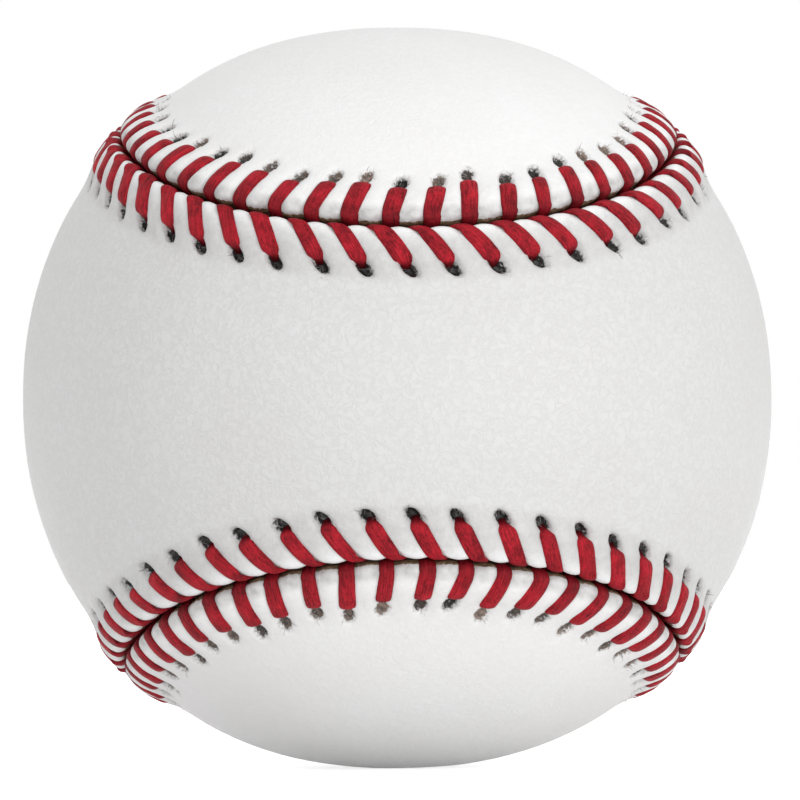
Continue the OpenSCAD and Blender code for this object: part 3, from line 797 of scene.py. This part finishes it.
def make_panel(name, seam, stitches, leather, fibres, seed, material):
    """A closed leather shell on one side of the seam, its relief made by a node tree."""
    side = stitches.side
    columns = panel_columns(seam, stitches)
    along, from_edge = np.meshgrid(columns, ROWS)
    across, values = edge_values(seam, stitches, leather, along, from_edge)
    rows, count = along.shape

    # The field's lines join the rim's columns in pairs, the same way from a lobe's tip on both sides
    rim = seam.direction(columns, side * across[-1])
    tip = (1.5 if side > 0 else 0.5) * seam.quarter
    first = int(np.searchsorted(columns, tip))
    starts = (first + np.arange(count // 2)) % count
    ends = (first - 1 - np.arange(count // 2)) % count
    shares = np.arange(1, FIELD_STEPS) / FIELD_STEPS
    start_rim, end_rim = rim[starts], rim[ends]
    spans = np.arccos(np.clip((start_rim * end_rim).sum(1), -1, 1))[:, None]
    weights = [np.sin((1 - shares) * spans) / np.sin(spans), np.sin(shares * spans) / np.sin(spans)]
    field = weights[0][..., None] * start_rim[:, None] + weights[1][..., None] * end_rim[:, None]
    field = field.reshape(-1, 3)
    outer = np.concatenate([seam.direction(along, side * across).reshape(-1, 3), field])
    total = len(outer)

    def row_points(row):
        return row * count + np.arange(count)

    def line_points(line):
        middle = rows * count + line * (FIELD_STEPS - 1) + np.arange(FIELD_STEPS - 1)
        last_row = row_points(rows - 1)
        return np.concatenate([last_row[starts[line], None], middle, last_row[ends[line], None]])

    def band(upper, lower):
        return np.stack([upper, np.roll(upper, -1), np.roll(lower, -1), lower], axis=1)

    strip_faces = np.concatenate([band(row_points(r), row_points(r + 1)) for r in range(rows - 1)])
    lines = np.stack([line_points(line) for line in range(count // 2)])
    corners = [lines[:-1, :-1], lines[1:, :-1], lines[1:, 1:], lines[:-1, 1:]]
    field_faces = np.stack(corners, axis=-1).reshape(-1, 4)

    # The inner face takes only the first and last rows and the field
    inner_points = np.concatenate([row_points(0), row_points(rows - 1), np.arange(rows * count, total)])
    inner_index = np.full(total, -1)
    inner_index[inner_points] = total + np.arange(len(inner_points))
    under = np.concatenate([band(row_points(0), row_points(rows - 1)), field_faces])
    inner_faces = inner_index[under][:, ::-1]
    edge = row_points(0)
    wall = np.stack([edge, inner_index[edge], np.roll(inner_index[edge], -1), np.roll(edge, -1)], axis=1)
    faces = np.concatenate([strip_faces, field_faces, inner_faces, wall])
    if side < 0:
        faces = faces[:, ::-1]

    # The fibres' roots go with them as loose points
    roots_along, roots_from_edge, axis = place_fibres(seam, stitches, leather, fibres, seed)
    roots_across, root_values = edge_values(seam, stitches, leather, roots_along, roots_from_edge)
    roots = seam.direction(roots_along, side * roots_across)
    points = np.concatenate([outer * seam.radius, outer[inner_points] * (seam.radius - leather.thickness),
                             roots * seam.radius])
    line = seam.direction(columns[::SEAM_STRIDE], 0.0)
    field_distance = seam.radius * np.arccos(np.clip((field @ line.T).max(axis=1), -1, 1))
    in_field = {"from_seam": field_distance, "from_edge": 1.0, "from_stitch": seam.pitch / 2,
                "swell": 0.0, "hole": 0.0, "halo": 0.0, "fray": 0.0, "cut": 0.0}
    attributes = {}
    for label, beyond in in_field.items():
        face = np.concatenate([values[label].ravel(), np.full(len(field), beyond)])
        attributes[label] = np.concatenate([face, face[inner_points], root_values[label]])
    inner, root = np.zeros(len(points)), np.zeros(len(points))
    inner[total:total + len(inner_points)] = 1
    root[-len(roots):] = 1
    attributes.update(inner=inner, fibre=root, cut=np.maximum(attributes["cut"], inner))
    attributes["axis"] = np.concatenate([np.zeros((len(points) - len(roots), 3)), axis])
    piece = new_piece(name, points, faces, attributes=attributes)

    sink = leather.front_sink if side > 0 else leather.back_sink
    return run_tree(piece, found_or_built("Leather relief", build_leather_relief), {
        "Lobe reach": seam.lobe_reach, "Rise": leather.seam_rise + sink, "Sink": sink,
        "Lip height": leather.lip_height, "Lip reach": leather.lip_reach,
        "Pillow height": leather.pillow_height, "Hole depth": leather.hole_depth,
        "Unevenness": leather.unevenness, "Fibre length": fibres.size, "Fibre thickness": fibres.thickness,
        "Seed": seed, "Material": material})


def build_leather_relief(name):
    """Raises lips along the seam, swells them between stitches, sinks the stitch holes and frays them."""
    nodes, size = new_geometry_tree(name, (
        "Lobe reach", "Rise", "Sink", "Lip height", "Lip reach", "Pillow height", "Hole depth", "Unevenness",
        "Fibre length", "Fibre thickness"), Seed="Int")
    from_edge = nodes.calculate("DIVIDE", nodes.stored("from_edge"), size["Lip reach"], clamp=True)
    lip = nodes.times(nodes.curve(from_edge, LIP_PROFILE), size["Lip height"])
    swell = nodes.calculate("POWER", nodes.stored("swell"), 0.7)
    swell = nodes.times(nodes.minus(swell, PRESSED), nodes.curve(from_edge, PILLOW_PROFILE))
    pillow = nodes.times(swell, size["Pillow height"])
    place = nodes.first("GeometryNodeInputPosition")
    hill = nodes.minus(nodes.noise(place, SWELLS, 3.0, 0.45), 0.5)
    hills = nodes.times(hill, nodes.times(size["Unevenness"], 2.0))
    # Torn flesh fills the frayed holes in part
    sunk = nodes.times(nodes.times_plus(nodes.stored("halo"), RIM_DEPTH, nodes.stored("hole")),
                       nodes.ramp(nodes.stored("fray"), 0.0, 1.0, 1.0, FRAYED_DEPTH))
    face = nodes.minus(nodes.plus(pillow, hills), nodes.times(sunk, size["Hole depth"]))
    from_seam = nodes.calculate("DIVIDE", nodes.stored("from_seam"), size["Lobe reach"], clamp=True)
    fullness = nodes.times(nodes.curve(from_seam, FULLNESS), size["Rise"])
    face = nodes.plus(face, nodes.minus(fullness, size["Sink"]))
    rise = nodes.times_plus(face, nodes.minus(1.0, nodes.stored("inner")), lip)
    outward = nodes.first("ShaderNodeVectorMath", {0: place}, operation="NORMALIZE")
    offset = nodes.first("ShaderNodeVectorMath", {0: outward, "Scale": rise}, operation="SCALE")
    raised = nodes.first("GeometryNodeSetPosition", {"Geometry": size["Geometry"], "Offset": offset})
    parts = nodes.add("GeometryNodeSeparateGeometry", {
        "Geometry": raised, "Selection": nodes.calculate("GREATER_THAN", nodes.stored("fibre"), 0.5)}).outputs

    # One bent fibre, thinner towards its tip, stands on every root
    reach = size["Fibre length"]
    middle, end = (nodes.vector(X=nodes.times(reach, over), Z=nodes.times(reach, up))
                   for over, up in FIBRE_BEND)
    line = nodes.first("GeometryNodeCurveQuadraticBezier", {
        "Resolution": 3, "Start": (0.0, 0.0, 0.0), "Middle": middle, "End": end})
    way = nodes.add("GeometryNodeSplineParameter").outputs["Factor"]
    half = nodes.times(nodes.times_plus(way, -0.4, 0.5), size["Fibre thickness"])
    ring = nodes.first("GeometryNodeCurvePrimitiveCircle", {"Resolution": 3, "Radius": 1.0})
    fibre = nodes.first("GeometryNodeCurveToMesh", {"Curve": line, "Profile Curve": ring, "Scale": half,
                                                    "Fill Caps": True})
    axis = nodes.stored("axis", "FLOAT_VECTOR")
    turned = nodes.first("FunctionNodeAlignRotationToVector", {"Vector": axis}, axis="Z")
    laid = nodes.first("GeometryNodeInstanceOnPoints", {
        "Points": parts["Selection"], "Instance": fibre, "Rotation": turned,
        "Scale": nodes.random(*FIBRE_LENGTHS, size["Seed"])})
    spun = nodes.first("GeometryNodeRotateInstances", {
        "Instances": laid, "Rotation": nodes.vector(Z=nodes.random(0.0, math.tau, size["Seed"]))})
    joined = nodes.add("GeometryNodeJoinGeometry")
    for part in (spun, parts["Inverted"]):
        nodes.fill(joined.inputs[0], part)
    smooth = nodes.first("GeometryNodeSetShadeSmooth", {"Geometry": joined.outputs[0]})
    return end_geometry_tree(nodes, smooth, size["Material"])


# Threads

# One stitch from under its hole to the lip's crest: distance from the seam as a share of the stitch's reach,
# height of its middle over the leather in thicknesses, share of the width, turn of its flat face towards
# the slit in degrees, and how dark it is
OVER_LIP = ((0.90, -2.2, 0.0, -80, 1.0), (0.885, -1.0, 0.4, -75, 1.0), (0.865, -0.25, 0.7, -58, 0.3),
            (0.83, 0.2, 0.85, -30, 0.0), (0.76, 0.38, 0.95, -8, 0.0), (0.66, 0.4, 1.0, 0, 0.0),
            (0.54, 0.4, 1.0, 0, 0.0), (0.42, 0.4, 0.97, 5, 0.0), (0.32, 0.4, 0.9, 12, 0.0))
# From there round the edge and down the slit: distance across and how far along its course it has got, both
# in mm, height over the ball's fullest as a share of the lip's, and the same last three
INTO_SLIT = ((0.90, 0.9, 0.95, 0.8, 35, 0.0), (0.58, 0.5, 0.84, 0.75, 60, 0.1),
             (0.40, 0.05, 0.36, 0.7, 75, 0.4), (0.28, -0.35, -0.38, 0.6, 82, 0.8),
             (0.15, -0.8, -1.15, 0.5, 82, 1.0), (-0.4, -1.2, -1.8, 0.5, 40, 1.0))
# How much wider front stitches fan out at each of those places, at the upper seam's middle
FANNED_OUT = (0.1, 0.45, 0.55, 0.45, 0.2, 0.0)
# Distance from the seam within which back stitches lie in the front lip's shade, and how dark they get there
SHADED_WITHIN = 2.1 * MM
ROOT_SHADE = 0.85
# Sides of a thread's section, and pieces that each step of its path is cut into
SECTION_SIDES, PATH_PIECES = 12, 2


def leather_height(leather, across):
    """Height over the ball's fullest of the leather pressed in under a stitch."""
    from_slit = across - leather.slit_width / 2
    drawn_back = (from_slit - leather.scallop) / (1 - leather.scallop / SCALLOP_REACH)
    from_edge = np.where(from_slit < SCALLOP_REACH, drawn_back, from_slit)
    shares = np.clip(from_edge / leather.lip_reach, 0, 1)
    return (profile_value(LIP_PROFILE, shares) * leather.lip_height
            - PRESSED * profile_value(PILLOW_PROFILE, shares) * leather.pillow_height)


def stitch_path(stitches, number, leather, thread):
    """Points of one stitch: along, across, height over the ball, width, turn, darkness and side."""
    over, into = np.array(OVER_LIP), np.array(INTO_SLIT)
    own = number % stitches.count
    over_across = over[:, 0] * stitches.reaches[own]
    over_height = leather_height(leather, over_across) + over[:, 1] * thread.thickness
    across = np.append(over_across, into[:, 0] * MM)
    course = np.append(over_across, np.maximum(into[:, 1] * MM, stitches.straight_from))
    height = np.append(over_height, into[:, 2] * leather.lip_height) + leather.seam_rise
    widths, turns, dark = np.concatenate([over[:, 2:], into[:, 3:]]).T
    fanned = np.append(np.zeros(len(over)), FANNED_OUT)
    widths = widths * (1 + fanned * stitches.fanning[own])
    if stitches.side < 0:
        dark = np.maximum(dark, ROOT_SHADE * np.clip(1 - across / SHADED_WITHIN, 0, 1))
    width = thread.width * stitches.widths[own] * (thread.hole_share + (1 - thread.hole_share) * widths)
    return np.stack([stitches.along(number, course), stitches.side * across, height, width, np.radians(turns),
                     dark, np.full(len(across), stitches.side)], axis=1)


def make_thread(name, first, seam, front, back, leather, thread, material):
    """One endless thread that takes front and back stitches in turn."""
    stations = [stitch_path(front if step % 2 == 0 else back, first - step, leather, thread)
                for step in range(front.count)]
    along, across, height, width, turn, dark, side = np.concatenate(stations).T
    outward = seam.direction(along, across)
    points = outward * (seam.radius + height)[:, None]
    towards = unit(seam.direction(along, across - side * STEP) - outward)
    facing = outward * np.cos(turn)[:, None] + towards * np.sin(turn)[:, None]
    travelled = np.concatenate([[0], np.cumsum(np.linalg.norm(np.diff(points, axis=0), axis=1))])
    count = len(points)
    piece = new_piece(name, points, edges=[(i, (i + 1) % count) for i in range(count)], attributes={
        "facing": facing, "thread_width": width, "along": travelled, "sunk": dark})
    return run_tree(piece, found_or_built("Pressed thread", build_pressed_thread), {
        "Flatness": thread.thickness / thread.width, "Material": material})


def build_pressed_thread(name):
    """Sweeps a flattened round along a path, with its flat side on the leather."""
    nodes, given = new_geometry_tree(name, ("Flatness",))
    line = nodes.first("GeometryNodeMeshToCurve", {"Mesh": given["Geometry"]})
    smooth = nodes.first("GeometryNodeCurveSplineType", {"Curve": line}, spline_type="CATMULL_ROM")
    fine = nodes.first("GeometryNodeSetSplineResolution", {"Geometry": smooth, "Resolution": PATH_PIECES})
    turned = nodes.first("GeometryNodeSetCurveNormal", {
        "Curve": fine, "Normal": nodes.stored("facing", "FLOAT_VECTOR")}, mode="FREE")
    circle = nodes.first("GeometryNodeCurvePrimitiveCircle", {"Resolution": SECTION_SIDES, "Radius": 1.0})
    marked = nodes.first("GeometryNodeStoreNamedAttribute", {
        "Geometry": circle, "Name": "around", "Value": nodes.first("GeometryNodeInputPosition")},
        data_type="FLOAT_VECTOR", domain="POINT")
    oval = nodes.first("GeometryNodeTransform", {
        "Geometry": marked, "Scale": nodes.vector(X=given["Flatness"], Y=1.0, Z=1.0)})
    swept = nodes.first("GeometryNodeCurveToMesh", {
        "Curve": turned, "Profile Curve": oval, "Scale": nodes.times(nodes.stored("thread_width"), 0.5)})
    shaded = nodes.first("GeometryNodeSetShadeSmooth", {"Geometry": swept})
    return end_geometry_tree(nodes, shaded, given["Material"])


# Operators


class BALL_OT_leather_panels(bpy.types.Operator):
    """Sculpt the two leather panels with their lips, pillows and stitch holes"""

    bl_idname = "ball.leather_panels"
    bl_label = "Leather Panels"

    def execute(self, context):
        scene = context.scene
        seam = Seam(scene.ball_seam)
        leather, fibres, seed = scene.ball_leather, scene.ball_fibres, scene.ball_thread.seed
        for name, side, tone in (("front_leather_panel", 1, leather.front_tone),
                                 ("back_leather_panel", -1, 1.0)):
            material = leather_material(name.replace("panel", "skin"), leather, fibres, tone,
                                        *PANEL_LOOKS[side])
            stitches = Stitches(seam, scene.ball_seam, scene.ball_thread, side)
            piece = make_panel(name.replace("panel", "cover"), seam, stitches, leather, fibres, seed + side,
                               material)
            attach(piece, BODY)
            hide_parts(name)
        return {"FINISHED"}


class BALL_OT_threads(bpy.types.Operator):
    """Lay the two red threads over the lips, pressed flat"""

    bl_idname = "ball.threads"
    bl_label = "Stitch Threads"

    def execute(self, context):
        scene = context.scene
        seam = Seam(scene.ball_seam)
        material = thread_material(scene.ball_thread)
        front, back = (Stitches(seam, scene.ball_seam, scene.ball_thread, side) for side in (1, -1))
        for name, first in (("first_stitch_thread", 0), ("second_stitch_thread", 1)):
            piece = make_thread(name.replace("stitch_thread", "red_thread"), first, seam, front, back,
                                scene.ball_leather, scene.ball_thread, material)
            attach(piece, BODY)
            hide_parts(name)
        return {"FINISHED"}


class BALL_OT_inner_layers(bpy.types.Operator):
    """Give the core, the rubber, the windings and the cement their materials"""

    bl_idname = "ball.inner_layers"
    bl_label = "Inner Layers"

    def execute(self, context):
        layers = context.scene.ball_layers
        cork, black, red, cement = (solid_material(name, getattr(layers, tint), *look)
                                    for name, tint, *look in SOLID_LOOKS)
        grey = yarn_material("grey_wool", layers.grey_wool, layers.yarn_width)
        white = yarn_material("white_wool", layers.white_wool, layers.yarn_width * WHITE_WIDTH)
        cotton = yarn_material("finish_cotton", layers.cotton, layers.yarn_width * COTTON_WIDTH)
        finishes = {
            "cork_core": cork, "inner_rubber_upper_half": black, "inner_rubber_lower_half": black,
            "rubber_gasket_ring": red, "outer_rubber_layer": red, "first_wool_winding": grey,
            "second_wool_winding": white, "third_wool_winding": grey, "finish_cotton_winding": cotton,
            "rubber_cement_coat": cement,
        }
        for name, material in finishes.items():
            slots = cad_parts[name].data.materials
            slots.clear()
            slots.append(material)
        return {"FINISHED"}


class BALL_OT_stage(bpy.types.Operator):
    """Set the camera, the floor and plain soft light"""

    bl_idname = "ball.stage"
    bl_label = "Stage"

    def execute(self, context):
        scene = context.scene
        radius = scene.ball_seam.ball_radius
        set_camera(scene, scene.ball_stage, radius)
        add_floor(scene.ball_stage, scene.ball_leather.back_sink - radius)
        light_room(scene, scene.ball_stage)
        scene.view_settings.view_transform = "Standard"
        return {"FINISHED"}


# Stage

# How far the ball's middle lies off the picture's, as shares of its width
CAMERA_SHIFT = (0.0036, -0.0028)
SENSOR_WIDTH = 36
# Nothing nearer to the camera is drawn
CLIP_START = 50 * MM
# How much light the floor throws back, and how far it is lifted to white where it is seen
FLOOR_TONE, FLOOR_LIFT = 0.9, 0.75
WHITE = (1.0, 1.0, 1.0, 1.0)
# Place and size of each lamp
LAMPS = {"top": ((0.0, -0.2, 1.0), 0.7), "front": ((0.0, -1.3, 0.05), 0.8),
         "right": ((0.85, -1.0, 0.11), 0.28)}


def set_camera(scene, stage, radius):
    backward = Vector((math.sin(stage.azimuth) * math.cos(stage.elevation),
                       -math.cos(stage.azimuth) * math.cos(stage.elevation), math.sin(stage.elevation)))
    data = bpy.data.cameras.new("Camera")
    camera = bpy.data.objects.new("Camera", data)
    scene.collection.objects.link(camera)
    turn = backward.to_track_quat("Z", "Y").to_matrix().to_4x4() @ Matrix.Rotation(-stage.roll, 4, "Z")
    camera.matrix_world = Matrix.Translation(backward * stage.camera_distance) @ turn
    data.sensor_width = SENSOR_WIDTH
    # The outline's cone is a little wider than the ball's own width at its centre
    outline = radius / math.sqrt(stage.camera_distance ** 2 - radius ** 2)
    data.lens = stage.ball_share / 2 * data.sensor_width / outline
    data.shift_x, data.shift_y = CAMERA_SHIFT
    data.clip_start = CLIP_START
    scene.camera = camera


def add_floor(stage, height):
    half = stage.floor_size / 2
    corners = [(-half, -half, height), (half, -half, height), (half, half, height), (-half, half, height)]
    floor = new_piece("floor", corners, [(0, 1, 2, 3)])
    material, nodes, _ = new_material("pale_floor")
    paper = nodes.first("ShaderNodeBsdfDiffuse", {"Color": (FLOOR_TONE, FLOOR_TONE, FLOOR_TONE, 1.0)})
    lifted = nodes.first("ShaderNodeEmission", {"Color": WHITE, "Strength": FLOOR_LIFT})
    bright = nodes.first("ShaderNodeAddShader", {0: paper, 1: lifted})
    mixed = nodes.first("ShaderNodeMixShader", {0: seen_ray(nodes), 1: paper, 2: bright})
    nodes.add("ShaderNodeOutputMaterial", {0: mixed})
    floor.data.materials.append(material)


def seen_ray(nodes):
    """1 for rays that show the background: from the camera, or by a reflection or glass."""
    path = nodes.add("ShaderNodeLightPath").outputs
    either = nodes.calculate("MAXIMUM", path["Is Camera Ray"], path["Is Glossy Ray"])
    return nodes.calculate("MAXIMUM", either, path["Is Transmission Ray"])


def light_room(scene, stage):
    world = bpy.data.worlds.new("Studio")
    world.use_nodes = True
    world.node_tree.nodes.clear()
    nodes = Nodes(world.node_tree)
    strength = nodes.ramp(seen_ray(nodes), 0.0, 1.0, stage.room_light, 1.0)
    sky = nodes.first("ShaderNodeBackground", {"Color": WHITE, "Strength": strength})
    nodes.add("ShaderNodeOutputWorld", {0: sky})
    scene.world = world
    for name, (place, size) in LAMPS.items():
        data = bpy.data.lights.new(name + "_lamp", "AREA")
        data.shape = "DISK"
        data.size = size
        data.energy = getattr(stage, name + "_power")
        lamp = bpy.data.objects.new(data.name, data)
        turn = Vector(place).to_track_quat("Z", "Y").to_matrix().to_4x4()
        lamp.matrix_world = Matrix.Translation(place) @ turn
        scene.collection.objects.link(lamp)


class BALL_PT_sidebar(bpy.types.Panel):
    """Sizes, colours and steps of the stitched ball"""

    bl_label = "Stitched Ball"
    bl_idname = "BALL_PT_sidebar"
    bl_space_type = "VIEW_3D"
    bl_region_type = "UI"
    bl_category = "Stitched Ball"

    def draw(self, context):
        for settings_name in SETTINGS:
            settings = getattr(context.scene, settings_name)
            column = self.layout.box().column(align=True)
            for name in settings.bl_rna.properties.keys():
                if name not in {"rna_type", "name"}:
                    column.prop(settings, name)
        for operator in OPERATORS:
            self.layout.operator(operator.bl_idname)


OPERATORS = (BALL_OT_stage, BALL_OT_leather_panels, BALL_OT_threads, BALL_OT_inner_layers)
CLASSES = (*SETTINGS.values(), *OPERATORS, BALL_PT_sidebar)


def register():
    for cls in CLASSES:
        bpy.utils.register_class(cls)
    for name, cls in SETTINGS.items():
        setattr(bpy.types.Scene, name, PointerProperty(type=cls))


def unregister():
    for name in SETTINGS:
        delattr(bpy.types.Scene, name)
    for cls in reversed(CLASSES):
        bpy.utils.unregister_class(cls)


def main():
    register()
    bpy.ops.ball.stage()
    bpy.ops.ball.leather_panels()
    bpy.ops.ball.threads()
    bpy.ops.ball.inner_layers()


if __name__ == "__main__":
    main()
